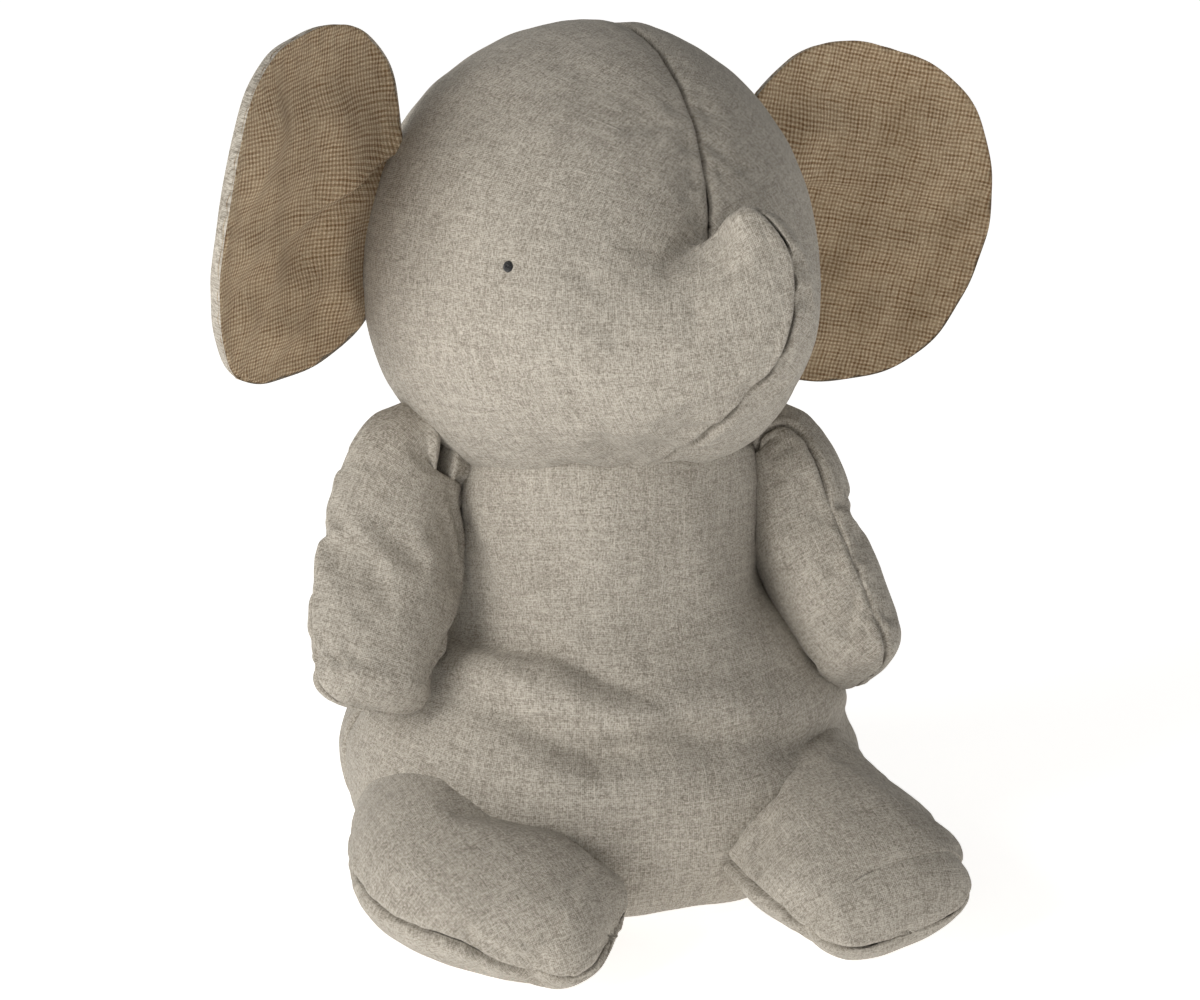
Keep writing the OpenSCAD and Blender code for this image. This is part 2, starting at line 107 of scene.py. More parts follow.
lamp("key_lamp", (-1.8, -0.8, 1.0), (0, 0, 0.15), 1.1, 28, (1, 0.99, 0.97))
lamp("front_lamp", (-0.8, -2.0, 0.9), (0, 0, 0.15), 1.0, 4, (1, 0.99, 0.98))
world = bpy.data.worlds.new("studio")
bpy.context.scene.world = world
world.use_nodes = True
sky = world.node_tree
ray = sky.nodes.new("ShaderNodeTexCoord")
split = sky.nodes.new("ShaderNodeSeparateXYZ")
dome = sky.nodes.new("ShaderNodeMapRange")
sky.links.new(ray.outputs["Generated"], split.inputs[0])
sky.links.new(split.outputs[2], dome.inputs["Value"])
for socket, value in (("From Min", 0.9), ("From Max", 0.0), ("To Min", 0.17), ("To Max", 0.58)):
    dome.inputs[socket].default_value = value
sky.links.new(dome.outputs[0], sky.nodes["Background"].inputs[1])
sky.nodes["Background"].inputs[0].default_value = (1, 0.995, 0.985, 1)
bpy.context.scene.view_settings.view_transform = "Standard"
print("camera at", [round(c, 2) for c in camera.location], "lens mm", round(camera_data.lens, 1))

# %% [markdown]
# ## Writing shader maths as Python
# A weave is arithmetic on thread counts. This class wraps a shader socket so that such arithmetic reads like
# Python: every operator adds one Math node. Colours are mixed with Mix nodes, because maths turns a colour grey.


# %% Shader helper
class S:
    """A socket in a node tree; + - * / and % on sockets and numbers add Math nodes."""

    def __init__(self, shade, socket):
        self.shade, self.socket = shade, socket

    def _op(self, kind, *others):
        return self.shade.node("ShaderNodeMath", {"operation": kind}, *((self,) + others))

    def __add__(self, o): return self._op("ADD", o)
    def __radd__(self, o): return self._op("ADD", o)
    def __mul__(self, o): return self._op("MULTIPLY", o)
    def __rmul__(self, o): return self._op("MULTIPLY", o)
    def __sub__(self, o): return self._op("SUBTRACT", o)
    def __truediv__(self, o): return self._op("DIVIDE", o)
    def __mod__(self, o): return self._op("FLOORED_MODULO", o)
    def __rsub__(self, o): return self.shade.node("ShaderNodeMath", {"operation": "SUBTRACT"}, o, self)
    def floor(self): return self._op("FLOOR")
    def fract(self): return self._op("FRACT")
    def sin(self): return self._op("SINE")
    def max(self, o): return self._op("MAXIMUM", o)

    def ramp(self, low, high, out_low=0.0, out_high=1.0):
        """Smoothly from out_low at low to out_high at high."""
        return self.shade.node("ShaderNodeMapRange", {"interpolation_type": "SMOOTHSTEP", "clamp": True},
                               self, low, high, out_low, out_high)


class Shade:
    """A material with a Principled shader, and short ways to add nodes to it."""

    def __init__(self, name, roughness=0.9, sheen=0.0):
        self.material = bpy.data.materials.new(name)
        self.material.use_nodes = True
        self.tree = self.material.node_tree
        self.shader = self.tree.nodes["Principled BSDF"]
        self.shader.inputs["Roughness"].default_value = roughness
        self.shader.inputs["Specular IOR Level"].default_value = 0.25
        self.shader.inputs["Sheen Weight"].default_value = sheen
        self.shader.inputs["Sheen Roughness"].default_value = 0.5

    def node(self, kind, settings=None, *values, out=0, **named):
        """Add any node: its settings first, then values or links for its sockets; returns output number out."""
        n = self.tree.nodes.new(kind)
        for key, value in (settings or {}).items():
            setattr(n, key, value)
        pairs = list(zip(n.inputs, values)) + [(n.inputs[k.replace("_", " ")], v) for k, v in named.items()]
        for socket, value in pairs:
            if isinstance(value, S):
                self.tree.links.new(value.socket, socket)
            elif value is not None:
                socket.default_value = value
        return S(self, n.outputs[out])

    def mix(self, factor, a, b):
        """Colour a where factor is 0, b where it is 1."""
        n = self.tree.nodes.new("ShaderNodeMix")
        n.data_type = "RGBA"
        for index, value in ((0, factor), (6, a), (7, b)):
            if isinstance(value, S):
                self.tree.links.new(value.socket, n.inputs[index])
            else:
                n.inputs[index].default_value = value if index == 0 else tuple(value) + (1,) * (4 - len(value))
        return S(self, n.outputs[2])

    def uv(self):
        """The panel's own thread coordinates in metres: across and along the grain."""
        both = self.node("ShaderNodeUVMap", {"uv_map": "thread"})
        split = self.tree.nodes.new("ShaderNodeSeparateXYZ")
        self.tree.links.new(both.socket, split.inputs[0])
        return S(self, split.outputs[0]), S(self, split.outputs[1])

    def at(self, x, y, z=0.0):
        """A point for a noise to be read at."""
        return self.node("ShaderNodeCombineXYZ", {}, x, y, z)

    def noise(self, vector, scale, detail=2.0, rough=0.5):
        """Smooth noise from 0 to 1; larger scales give smaller blots."""
        return self.node("ShaderNodeTexNoise", {"noise_dimensions": "3D"}, Vector=vector, Scale=scale, Detail=detail,
                         Roughness=rough)

    def finish(self, colour, height=None, strength=0.5, distance=0.0005, soft=None):
        """Link the colour, and a fine bump from height over a wide bump from soft."""
        self.tree.links.new(colour.socket, self.shader.inputs["Base Color"])
        if height is not None:
            bump = self.node("ShaderNodeBump", {}, Strength=strength, Distance=distance, Height=height)
            if soft is not None:
                wide = self.node("ShaderNodeBump", {}, Strength=0.5, Distance=0.0022, Height=soft)
                self.tree.links.new(wide.socket, bump.socket.node.inputs["Normal"])
            self.tree.links.new(bump.socket, self.shader.inputs["Normal"])
        return self.material


# %% [markdown]
# ## Linen
# Linen is a plain weave of uneven threads: some are fat for a stretch, some pale, and here and there a short tuft
# of stray fibre sticks out. Threads run along two directions of each panel, so the pattern reads the panel's
# own thread map.


# %% Linen material
def linen(name, light, dark, pitch=0.00066):
    """Plain weave: each thread's own tone and slubs, with painted shade in the dips between crossings and painted
    light on the crowns.
    """
    k = Shade(name, roughness=0.92, sheen=0.1)
    u, v = k.uv()
    u = u + (k.noise(k.at(u, v), 60, 1.0) - 0.5) * 0.0014
    v = v + (k.noise(k.at(u, v, 0.3), 55, 1.0) - 0.5) * 0.0014
    a, b = u / pitch, v / pitch
    warp_tone = k.noise(k.at(a.floor() * 3.1, v * 210), 1.0, 1.0)
    weft_tone = k.noise(k.at(u * 210, b.floor() * 3.1, 5.0), 1.0, 1.0)
    over = (a.floor() + b.floor()) % 2.0
    height = (a.fract() * math.pi).sin() * (0.35 + over * 0.65) + (b.fract() * math.pi).sin() * (1.0 - over * 0.65)
    grain = k.noise(k.at(u * 1700, v * 700), 1.0, 2.0) + k.noise(k.at(u * 700, v * 1700, 3.0), 1.0, 2.0)
    speck = k.noise(k.at(u, v, 0.7), 1250, 2.0, 0.75)
    blotch = k.noise(k.at(u, v, 0.9), 30, 3.0)
    band = k.noise(k.at(u * 420, v * 26, 11.0), 1.0, 2.0) + k.noise(k.at(u * 26, v * 420, 12.0), 1.0, 2.0)
    # The height term in this tone is painted shade and light: the weave's dips are darkened and its crowns lightened
    # in the colour.
    tone = (0.5 + (band - 1.0) * 0.28 + (warp_tone + weft_tone - 1.0) * 0.55 + (grain - 1.0) * 0.75
            + (speck - 0.5) * 1.3 + (blotch - 0.5) * 0.16 + (height - 0.8) * 0.25)
    colour = k.mix(tone.ramp(0.0, 1.0), dark, light)
    slub = k.noise(k.at(u * 900, v * 42, 8.0), 1.0, 1.0).ramp(0.66, 0.76)
    slub = slub.max(k.noise(k.at(u * 42, v * 900, 9.0), 1.0, 1.0).ramp(0.66, 0.76))
    colour = k.mix(slub * 0.3, colour, tuple(min(1, c * 1.22) for c in light))
    nep = k.noise(k.at(u, v, 2.7), 520, 1.0)
    colour = k.mix(nep.ramp(0.76, 0.80) * 0.55, colour, tuple(c * 0.55 for c in dark))
    colour = k.mix(nep.ramp(0.24, 0.20) * 0.5, colour, tuple(min(1, c * 1.4) for c in light))
    relief = height * 0.5 + (speck - 0.5) * 1.3 + slub * 0.7 + (grain - 1.0) * 1.0 + (band - 1.0) * 0.8
    crinkle = k.noise(k.at(u, v, 4.1), 105, 3.0, 0.6) + k.noise(k.at(u * 190, v * 420, 6.2), 1.0, 2.0) * 0.3
    return k.finish(colour, relief, 0.6, 0.00034, soft=crinkle)


def srgb(r, g, b):
    """A colour given as screen values, made linear."""
    return tuple(((c / 255 + 0.055) / 1.055) ** 2.4 for c in (r, g, b))


GREY = linen("linen_grey", srgb(194, 187, 175), srgb(124, 116, 104))

# %% [markdown]
# ## Check cloth for the ears
# The ears' fronts are an open weave of brown and cream threads laid in pairs, which makes a small uneven check.


# %% Check cloth material
def check_cloth(name, pitch=0.00172):
    """Brown lines both ways on cream, each thread with its own weight, darkest where two brown threads cross."""
    k = Shade(name, roughness=0.93, sheen=0.1)
    u, v = k.uv()
    u = u + (k.noise(k.at(u, v), 90, 2.0) - 0.5) * 0.0016
    v = v + (k.noise(k.at(u, v, 0.4), 90, 2.0) - 0.5) * 0.0016
    a, b = u / pitch, v / pitch
    weight_a = k.noise(k.at(a.floor() * 7.7, v * 90), 1.0, 2.0).ramp(0.25, 0.75, 0.5, 1.0)
    weight_b = k.noise(k.at(u * 90, b.floor() * 7.7, 4.0), 1.0, 2.0).ramp(0.25, 0.75, 0.5, 1.0)
    line_a = (a.fract() * math.pi).sin().ramp(0.35, 0.95) * weight_a
    line_b = (b.fract() * math.pi).sin().ramp(0.35, 0.95) * weight_b
    speck = k.noise(k.at(u, v, 0.2), 1300, 2.0, 0.7)
    both = line_a * line_b
    cream = k.mix(speck.ramp(0.2, 0.8), srgb(182, 160, 128), srgb(240, 224, 194))
    colour = k.mix((line_a.max(line_b)) * 0.72, cream, srgb(142, 102, 58))
    colour = k.mix(both * 0.85, colour, srgb(84, 52, 22))
    haze = k.noise(k.at(u, v, 1.4), 60, 3.0)
    colour = k.mix(haze.ramp(0.35, 0.75) * 0.15, colour, srgb(150, 124, 94))
    fine = ((a * 3.0).fract() * math.pi).sin() * ((b * 3.0).fract() * math.pi).sin()
    relief = (line_a + line_b) * -0.5 + fine * 0.5 + speck
    return k.finish(colour, relief, 0.7, 0.0005, soft=k.noise(k.at(u, v, 3.3), 80, 2.0))


CHECK = check_cloth("check_cloth")

# %% Floor material and floor
pale = Shade("studio_floor", roughness=0.95)
pale.shader.inputs["Emission Color"].default_value = (1, 0.995, 0.985, 1)
pale.shader.inputs["Emission Strength"].default_value = 0.72
spot = pale.noise(pale.node("ShaderNodeTexCoord", {}, out=3), 0.4, 1.0)
FLOOR_MATERIAL = pale.finish(pale.mix(spot, (0.93, 0.925, 0.915), (0.96, 0.955, 0.945)))
floor_mesh = bpy.data.meshes.new("floor")
floor_mesh.from_pydata([(-9, -9, 0), (9, -9, 0), (9, 9, 0), (-9, 9, 0)], [], [(0, 1, 2, 3)])
floor = bpy.data.objects.new("floor", floor_mesh)
bpy.context.scene.collection.objects.link(floor)
floor_mesh.materials.append(FLOOR_MATERIAL)

# %% [markdown]
# ## Surfaces as arrays
# A skin is a grid of points: rows follow the part's length, columns go round it. A row whose points all coincide
# is a pole, such as a toe. Each helper below works on whole arrays.


# %% Grid helpers
def smooth(table, t):
    """A smooth curve (Catmull-Rom) through the table's rows, at shares t of its length."""
    table = np.asarray(table, float)
    n = len(table) - 1
    s = np.clip(t, 0, 1) * n
    k = np.minimum(s.astype(int), n - 1)
    u = (s - k)[:, None]
    a, b, c, d = (table[np.clip(k + i, 0, n)] for i in (-1, 0, 1, 2))
    return b + 0.5 * u * (c - a + u * (2 * a - 5 * b + 4 * c - d + u * (3 * (b - c) + d - a)))


def length_of(points, axis):
    """Running length of a grid along one axis, from 0."""
    step = np.linalg.norm(np.diff(points, axis=axis), axis=-1)
    pad = [(0, 0), (0, 0)]
    pad[axis] = (1, 0)
    return np.cumsum(np.pad(step, pad), axis=axis)


def finer(grid, rows, columns, pull=0.0):
    """The same surface on rows x columns points, by cubic interpolation; pull crowds the columns to both seams."""
    def along(g, share):
        return smooth(g.reshape(len(g), -1), share).reshape((len(share),) + g.shape[1:])
    across = np.linspace(0, 1, columns)
    across = across - pull * np.sin(2 * math.pi * across) / (2 * math.pi)
    g = along(grid, np.linspace(0, 1, rows))
    return np.swapaxes(along(np.swapaxes(g, 0, 1), across), 0, 1)


def normals(grid):
    """Outward direction at each point: the cross product of the steps along columns and rows."""
    du = np.gradient(grid, axis=0)
    dv = np.gradient(grid, axis=1)
    n = np.cross(dv, du)
    size = np.linalg.norm(n, axis=-1, keepdims=True)
    return n / np.maximum(size, 1e-9)


def grid_mesh(name, grid, uv=None, poles=(False, False), closed=False):
    """A mesh object from a grid in millimetres; pole rows become one point, closed joins last column to first."""
    rows, columns = grid.shape[:2]
    index = np.arange(rows * columns).reshape(rows, columns)
    if poles[0]:
        index[0] = index[0, 0]
    if poles[1]:
        index[-1] = index[-1, 0]
    if closed:
        index = np.concatenate([index, index[:, :1]], axis=1)
    a, b, c, d = index[:-1, :-1], index[:-1, 1:], index[1:, 1:], index[1:, :-1]
    quads = np.stack([a, b, c, d], axis=-1).reshape(-1, 4)
    used, faces = np.unique(quads, return_inverse=True)
    faces = faces.reshape(-1, 4)
    faces = [tuple(dict.fromkeys(f)) for f in faces.tolist()]
    faces = [f for f in faces if len(f) > 2]
    mesh = bpy.data.meshes.new(name)
    mesh.from_pydata((grid.reshape(-1, 3)[used] * MM).tolist(), [], faces)
    if uv is not None:
        layer = mesh.uv_layers.new(name="thread")
        loops = np.empty(len(mesh.loops), int)
        mesh.loops.foreach_get("vertex_index", loops)
        layer.data.foreach_set("uv", uv.reshape(-1, 2)[used][loops].astype(np.float32).ravel())
    mesh.shade_smooth()
    obj = bpy.data.objects.new(name, mesh)
    bpy.context.scene.collection.objects.link(obj)
    return obj, used


def drop(obj):
    """Remove an object and its mesh."""
    data = obj.data
    bpy.data.objects.remove(obj)
    bpy.data.meshes.remove(data)


# %% [markdown]
# ## Filling the skins
# Stuffing pushes the cloth outwards while the seams hold it back. Blender's cloth solver does this: each skin is
# a closed bag under a little pressure, its seam lines are pinned, and the result is capped so that no bag grows
# past the space the CAD keeps for it. All bags are filled in the same twenty frames.


# %% Cloth filling
BAGS = {}
FILL_FRAMES, FILL_PRESSURE, CLOTH_SLACK = 20, 3.0, 0.03


def bag(name, grid, seams, poles, cap):
    """Queue a closed grid to be filled; seams lists the columns that are pinned, cap the furthest a point moves."""
    BAGS[name] = dict(grid=grid, seams=seams, poles=poles, cap=cap)


def fill_bags():
    """Run the cloth solver on every queued bag at once and keep the moved grids."""
    made = {}
    for name, b in BAGS.items():
        obj, used = grid_mesh("bag_" + name, b["grid"], poles=b["poles"], closed=True)
        pinned = np.zeros(b["grid"].shape[:2], bool)
        pinned[:, list(b["seams"])] = True
        pinned[0] = pinned[-1] = True
        group = obj.vertex_groups.new(name="seam")
        group.add(np.nonzero(pinned.ravel()[used])[0].tolist(), 1.0, "REPLACE")
        cloth = obj.modifiers.new("fill", "CLOTH").settings
        cloth.quality = 5
        cloth.mass = 0.25
        cloth.tension_stiffness = cloth.compression_stiffness = 12
        cloth.shear_stiffness = 6
        cloth.bending_stiffness = 0.8
        cloth.use_pressure = True
        cloth.uniform_pressure_force = FILL_PRESSURE
        cloth.shrink_min = -CLOTH_SLACK
        cloth.vertex_group_mass = "seam"
        cloth.pin_stiffness = 2.0
        cloth.effector_weights.gravity = 0
        made[name] = (obj, used)
    scene = bpy.context.scene
    for step in range(1, FILL_FRAMES + 1):
        scene.frame_set(step)
    graph = bpy.context.evaluated_depsgraph_get()
    out = {}
    for name, (obj, used) in made.items():
        b = BAGS[name]
        shape = obj.evaluated_get(graph)
        moved = np.empty(len(shape.data.vertices) * 3)
        shape.data.vertices.foreach_get("co", moved)
        moved = moved.reshape(-1, 3) / MM
        start = b["grid"].reshape(-1, 3)
        flat = start.copy()
        shift = moved - start[used]
        size = np.linalg.norm(shift, axis=1, keepdims=True)
        shift *= np.minimum(1, b["cap"] / np.maximum(size, 1e-9))
        flat[used] = start[used] + shift
        result = flat.reshape(b["grid"].shape)
        if b["poles"][0]:
            result[0] = result[0, 0]
        if b["poles"][1]:
            result[-1] = result[-1, 0]
        out[name] = result
        print(f"filled {name}: moved up to {size.max():.1f} mm, mean {size.mean():.1f}")
    for obj, used in made.values():
        drop(obj)
    scene.frame_set(1)
    return out


# %% [markdown]
# ## Thread maps
# A flat piece of cloth bent over a round form keeps its threads nearly straight. Blender's minimum-stretch
# unwrap finds how the panel lies flat, and the result is turned so that one thread direction follows the grain.


# %% Thread map
def thread_map(grid, poles):
    """Flat coordinates in metres for a panel: unwrap, scale so edge lengths match, turn the middle column upright."""
    obj, used = grid_mesh("flat", grid, np.zeros(grid.shape[:2] + (2,)), poles)
    for other in bpy.context.selected_objects:
        other.select_set(False)
    bpy.context.view_layer.objects.active = obj
    obj.select_set(True)
    bpy.ops.object.mode_set(mode="EDIT")
    bpy.ops.mesh.select_all(action="SELECT")
    bpy.ops.uv.unwrap(method="MINIMUM_STRETCH", iterations=10, margin=0.0)
    bpy.ops.object.mode_set(mode="OBJECT")
    mesh = obj.data
    loops = np.empty(len(mesh.loops), int)
    mesh.loops.foreach_get("vertex_index", loops)
    flat = np.empty(len(mesh.loops) * 2)
    mesh.uv_layers["thread"].data.foreach_get("uv", flat)
    point = np.zeros((len(mesh.vertices), 2))
    point[loops] = flat.reshape(-1, 2)
    edges = np.empty(len(mesh.edges) * 2, int)
    mesh.edges.foreach_get("vertices", edges)
    edges = edges.reshape(-1, 2)
    place = np.empty(len(mesh.vertices) * 3)
    mesh.vertices.foreach_get("co", place)
    place = place.reshape(-1, 3)
    real = np.linalg.norm(place[edges[:, 0]] - place[edges[:, 1]], axis=1).sum()
    drawn = np.linalg.norm(point[edges[:, 0]] - point[edges[:, 1]], axis=1).sum()
    point *= real / max(drawn, 1e-9)
    full = np.zeros((grid.shape[0] * grid.shape[1], 2))
    full[used] = point
    uv = full.reshape(grid.shape[:2] + (2,))
    if poles[0]:
        uv[0] = uv[0, 0]
    if poles[1]:
        uv[-1] = uv[-1, 0]
    middle = uv[:, grid.shape[1] // 2]
    way = middle[-1] - middle[0]
    angle = math.atan2(way[0], way[1])
    c, s = math.cos(angle), math.sin(angle)
    uv = uv @ np.array([[c, s], [-s, c]])
    drop(obj)
    return uv


# %% [markdown]
# ## Small uneven movements
# Hand-filled cloth is never quite even. This noise is a sum of a few slow waves with fixed seeds, so every run
# gives the same toy.


# %% Soft noise
def ripple(points, size, seed, waves=14):
    """Smooth noise near -1..1 at points in millimetres: a sum of waves of about the given wavelength."""
    rng = np.random.default_rng(seed)
    way = rng.normal(size=(waves, 3))
    way *= (rng.uniform(0.6, 1.4, waves) / np.linalg.norm(way, axis=1) * 2 * math.pi / size)[:, None]
    phase = rng.uniform(0, 2 * math.pi, waves)
    return np.sin(points @ way.T + phase).sum(axis=-1) / math.sqrt(waves)


# %% [markdown]
# ## From a filled grid to sewn panels
# The filled skin is cut along its seam columns into panels. Near a seam the cloth dips into the stitch line,
# swells just beside it where the seam allowance lies underneath, and shows little puckers across it.


# %% Panels
STEP = 1.35  # size of a panel's mesh squares
TUCKED = 2.2  # how deep an edge is turned in at a seam
FLOOR_CLEAR = 0.4


def seam_profile(d, depth=1.6, ridge=0.5):
    """Height beside a seam at distance d: a narrow dip at the stitches and a low roll over the allowance."""
    return -depth * np.exp(-(d / 0.85) ** 2) + ridge * np.exp(-((d - 3.4) / 2.2) ** 2)


def panel(name, grid, poles, seed, nodes, extra=None, pucker=0.5, wave=0.5, step=STEP):
    """One sewn panel: refine the grid, add seams, puckers and slow waves along the normals, and make its mesh."""
    coarse_uv = thread_map(grid, poles)
    rows = int(length_of(grid, 0)[-1].max() / step) + 2
    columns = int(length_of(grid, 1)[:, -1].max() / step) + 2
    p, uv = finer(grid, rows, columns, 0.6), finer(coarse_uv, rows, columns, 0.6)
    if poles[0]:
        p[0], uv[0] = p[0, 0], uv[0, 0]
    if poles[1]:
        p[-1], uv[-1] = p[-1, 0], uv[-1, 0]
    n = normals(p)
    for row, near, pole in ((0, 1, poles[0]), (-1, -2, poles[1])):
        if pole:
            mean = n[near].mean(axis=0)
            n[row] = mean / max(np.linalg.norm(mean), 1e-9)
    run = length_of(p, 1)
    along = length_of(p, 0)
    move = wave * ripple(p, 46, seed) + 0.25 * wave * ripple(p, 17, seed + 3)
    beat = ripple(np.stack([along, 0 * along, 0 * along], -1), 8.5, seed + 5, 9)
    for d in (run, run[:, -1:] - run):
        move = move + seam_profile(d) + pucker * beat * np.exp(-d / 6.5) * (1 - np.exp(-(d / 2.0) ** 2))
    if extra is not None:
        move = move + extra(p, n)
    p = p + n * move[..., None]
    tuck = TUCKED * n
    p = np.concatenate([p[:, :1] - tuck[:, :1], p, p[:, -1:] - tuck[:, -1:]], axis=1)
    uv = np.concatenate([uv[:, :1], uv, uv[:, -1:]], axis=1)
    p[..., 2] = np.maximum(p[..., 2], FLOOR_CLEAR)
    obj, used = grid_mesh(name, p, uv, poles)
    obj.data.materials.append(GREY)
    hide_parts(*nodes)
    print(f"{name}: {len(obj.data.polygons)} faces")
    return obj


# %% [markdown]
# ## Torso
# The torso is a leaning pear of three panels: a front, and two backs that meet in a centre seam. Its rows are
# rings that start at the seat's middle, swell at the hips, draw in under the arms and end inside the head.

# %% Torso shape
hips = (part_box("torso_front_panel")[1][0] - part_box("torso_front_panel")[0][0]) * 500


def ring_rows(table, count):
    """Rings from a table of height, lean, half width, half depth, backward shift: an ellipse tilted by the lean."""
    t = np.linspace(0, 1, count)
    h, lean, a, b, shift = smooth(table, t).T
    lean = np.radians(lean)[:, None]
    return h[:, None], lean, a[:, None], b[:, None], shift[:, None]


def torso_grid(rows=44, columns=72):
    """Point at height share s and angle q: centre + a cos q along X + b sin q along the leaning depth, fuller over
    the thighs by a share of sin 2q squared."""
    table = np.array([[0.5, 0, 4, 3, 1], [0.5, 0, 48, 40, 1], [2.5, 0, 80, 64, 1], [12, 0, 94, 76, 1],
                      [26, 0, 101, 82, 1], [44, 0, hips, 84.5, 2], [62, 0, hips * 0.985, 83.5, 2],
                      [80, 2, hips * 0.91, 77, 4], [98, 4, 83, 68, 7], [114, 7, 69, 60, 8],
                      [130, 10, 64, 55.5, 9], [146, 12.5, 63.5, 54.5, 10.5], [160, 15, 61.5, 54.5, 11.5],
                      [171.5, 15.6, 58, 53.5, 13], [176, 15.6, 53, 50, 14.3]], float)
    table[:, 2:4] -= 1.5
    h, lean, a, b, shift = ring_rows(table, rows)
    q = np.radians(180 + 360 * np.arange(columns) / columns)[None]
    sag = -6 * np.exp(-((h - 50) / 34) ** 2)
    thigh = 1 + 0.15 * np.exp(-((h - 46) / 26) ** 2) * np.sin(2 * q) ** 2 * (np.sin(q) < 0)
    x = sag + a * np.cos(q) * (1 + (thigh - 1) * 0.35)
    y = shift + b * np.sin(q) * np.cos(lean) * thigh
    z = h - b * np.sin(q) * np.sin(lean)
    grid = np.stack([x, y, z], -1)
    grid[0] = [0, 1, 0.5]
    return grid


bag("torso", torso_grid(), seams=(0, 36, 54), poles=(True, False), cap=4.0)

# %% [markdown]
# ## Head and trunk
# The cheek and the trunk are cut in one piece on each side, and the two sides meet in a seam that runs up the
# trunk, over the crown and down the nape. The shape is drawn as a pattern maker would: an upper and a lower edge
# in the middle plane, and a half width between them.

# %% Head shape
HEAD_CENTRE = np.array([-4, 34, 245.0])
YAW, ROLL = math.radians(19), math.radians(12)
TURN = np.array([[math.cos(YAW), -math.sin(YAW), 0], [math.sin(YAW), math.cos(YAW), 0], [0, 0, 1]])
TILT = np.array([[math.cos(ROLL), 0, math.sin(ROLL)], [0, 1, 0], [-math.sin(ROLL), 0, math.cos(ROLL)]])
HEAD_TURN = TURN @ TILT


def from_head(points):
    """Points of the head's own frame (side, back, up) in the toy's frame."""
    return points @ HEAD_TURN.T + HEAD_CENTRE


# Forward and up of the upper edge, forward and up of the lower edge, half width, the lower edge's drift to the left.
HEAD_TABLE = [
    [113, 51.5, 113, 51.5, 0, 1], [109.5, 51, 117, 50, 7, 2], [105.5, 48.5, 121.5, 45.5, 11, 6],
    [101, 44, 125.5, 38, 14, 11], [97, 39, 128, 26, 17.5, 14], [93.5, 35, 128.5, 11, 22, 15],
    [90.5, 32.5, 125.5, -5, 27, 14], [88, 31.5, 119, -19, 32, 9], [86, 34, 110, -33, 38, 5],
    [84, 39.5, 100, -44, 44.5, 3], [80, 47, 91, -51, 51.5, 2], [74.5, 54.5, 82, -57.5, 58.5, 1],
    [67, 63, 71, -64.5, 65.5, 0], [56, 73, 57, -73, 72.5, 0], [41, 83.5, 41, -83, 79.5, 0],
    [22, 91, 22, -90.5, 85, 0], [2, 94, 2, -94, 87.5, 0], [-18, 92, -18, -92, 86, 0], [-38, 85, -38, -85, 79.5, 0],
    [-55, 74, -55, -74, 69.5, 0], [-70, 58.5, -70, -58.5, 55, 0], [-81, 40.5, -81, -40.5, 38, 0],
    [-88, 20, -88, -20, 18.5, 0], [-90, 0, -90, 0, 0, 0]]


def head_grid(rows=62, columns=64):
    """Section at share t: the edges' midpoint, plus the upper half span times cos q, the half width times sin q."""
    dense = smooth(HEAD_TABLE, np.linspace(0, 1, 800))
    pace = np.linalg.norm(np.diff(dense[:, :4].reshape(-1, 2, 2), axis=0), axis=-1).max(axis=1)
    pace = pace + 0.5 * np.abs(np.diff(dense[:, 4]))
    run = np.concatenate([[0], np.cumsum(pace)])
    t = np.interp(np.linspace(0, run[-1], rows), run, np.linspace(0, 1, 800))
    tf, tu, lf, lu, a, drift = smooth(HEAD_TABLE, t).T[:, :, None]
    q = (2 * math.pi * np.arange(columns) / columns)[None]
    c, s = np.cos(q), np.sin(q)
    forward = (tf + lf) / 2 + (tf - lf) / 2 * c
    up = (tu + lu) / 2 + (tu - lu) / 2 * c
    side = a * s + drift * (1 - c) / 2
    return from_head(np.stack([side, -forward, up], -1))


bag("head", head_grid(), seams=(0, 32), poles=(True, True), cap=3.5)

# %% [markdown]
# ## Arms and legs
# Each limb is two panels sewn along both sides and across the end. A table gives the path of its middle and its
# half width and half thickness, and sections are carried along the path.


# %% Limb shapes
def limb_grid(table, side, rows, columns, tip=0.85, square=0.55, start_angle=180, root_steps=5, tip_steps=6):
    """A round root, sections (a cos q, b sin q) square to a smooth path, and a flat-sewn end, broader if square
    is smaller."""
    table = np.asarray(table, float)
    t = np.linspace(0, 1, rows)
    p = smooth(table, t)
    eps = 0.02
    way = smooth(table[:, :3], np.minimum(t + eps, 1)) - smooth(table[:, :3], np.maximum(t - eps, 0))
    way /= np.linalg.norm(way, axis=1, keepdims=True)
    up = np.cross(way, side)
    up /= np.linalg.norm(up, axis=1, keepdims=True)
    across = np.cross(up, way)
    centre, a, b = p[:, :3], p[:, 3], p[:, 4]
    first = np.radians(np.linspace(-90, 0, root_steps + 1))[:-1]
    last = np.radians(np.linspace(0, 90, tip_steps + 1))[1:]
    r0, r1 = min(a[0], b[0]), tip * min(a[-1], b[-1])
    centre = np.concatenate([centre[0] + r0 * np.sin(first)[:, None] * way[0], centre,
                             centre[-1] + r1 * np.sin(last)[:, None] * way[-1]])
    narrow = np.maximum(np.cos(last), 0)
    a = np.concatenate([a[0] * np.cos(first), a, a[-1] * narrow ** square])[:, None, None]
    b = np.concatenate([b[0] * np.cos(first), b, b[-1] * narrow])[:, None, None]
    up = np.concatenate([up[:1].repeat(root_steps, 0), up, up[-1:].repeat(tip_steps, 0)])[:, None]
    across = np.concatenate([across[:1].repeat(root_steps, 0), across, across[-1:].repeat(tip_steps, 0)])[:, None]
    q = np.radians(start_angle + 360 * np.arange(columns) / columns)[None, :, None]
    return centre[:, None] + a * np.cos(q) * across + b * np.sin(q) * up


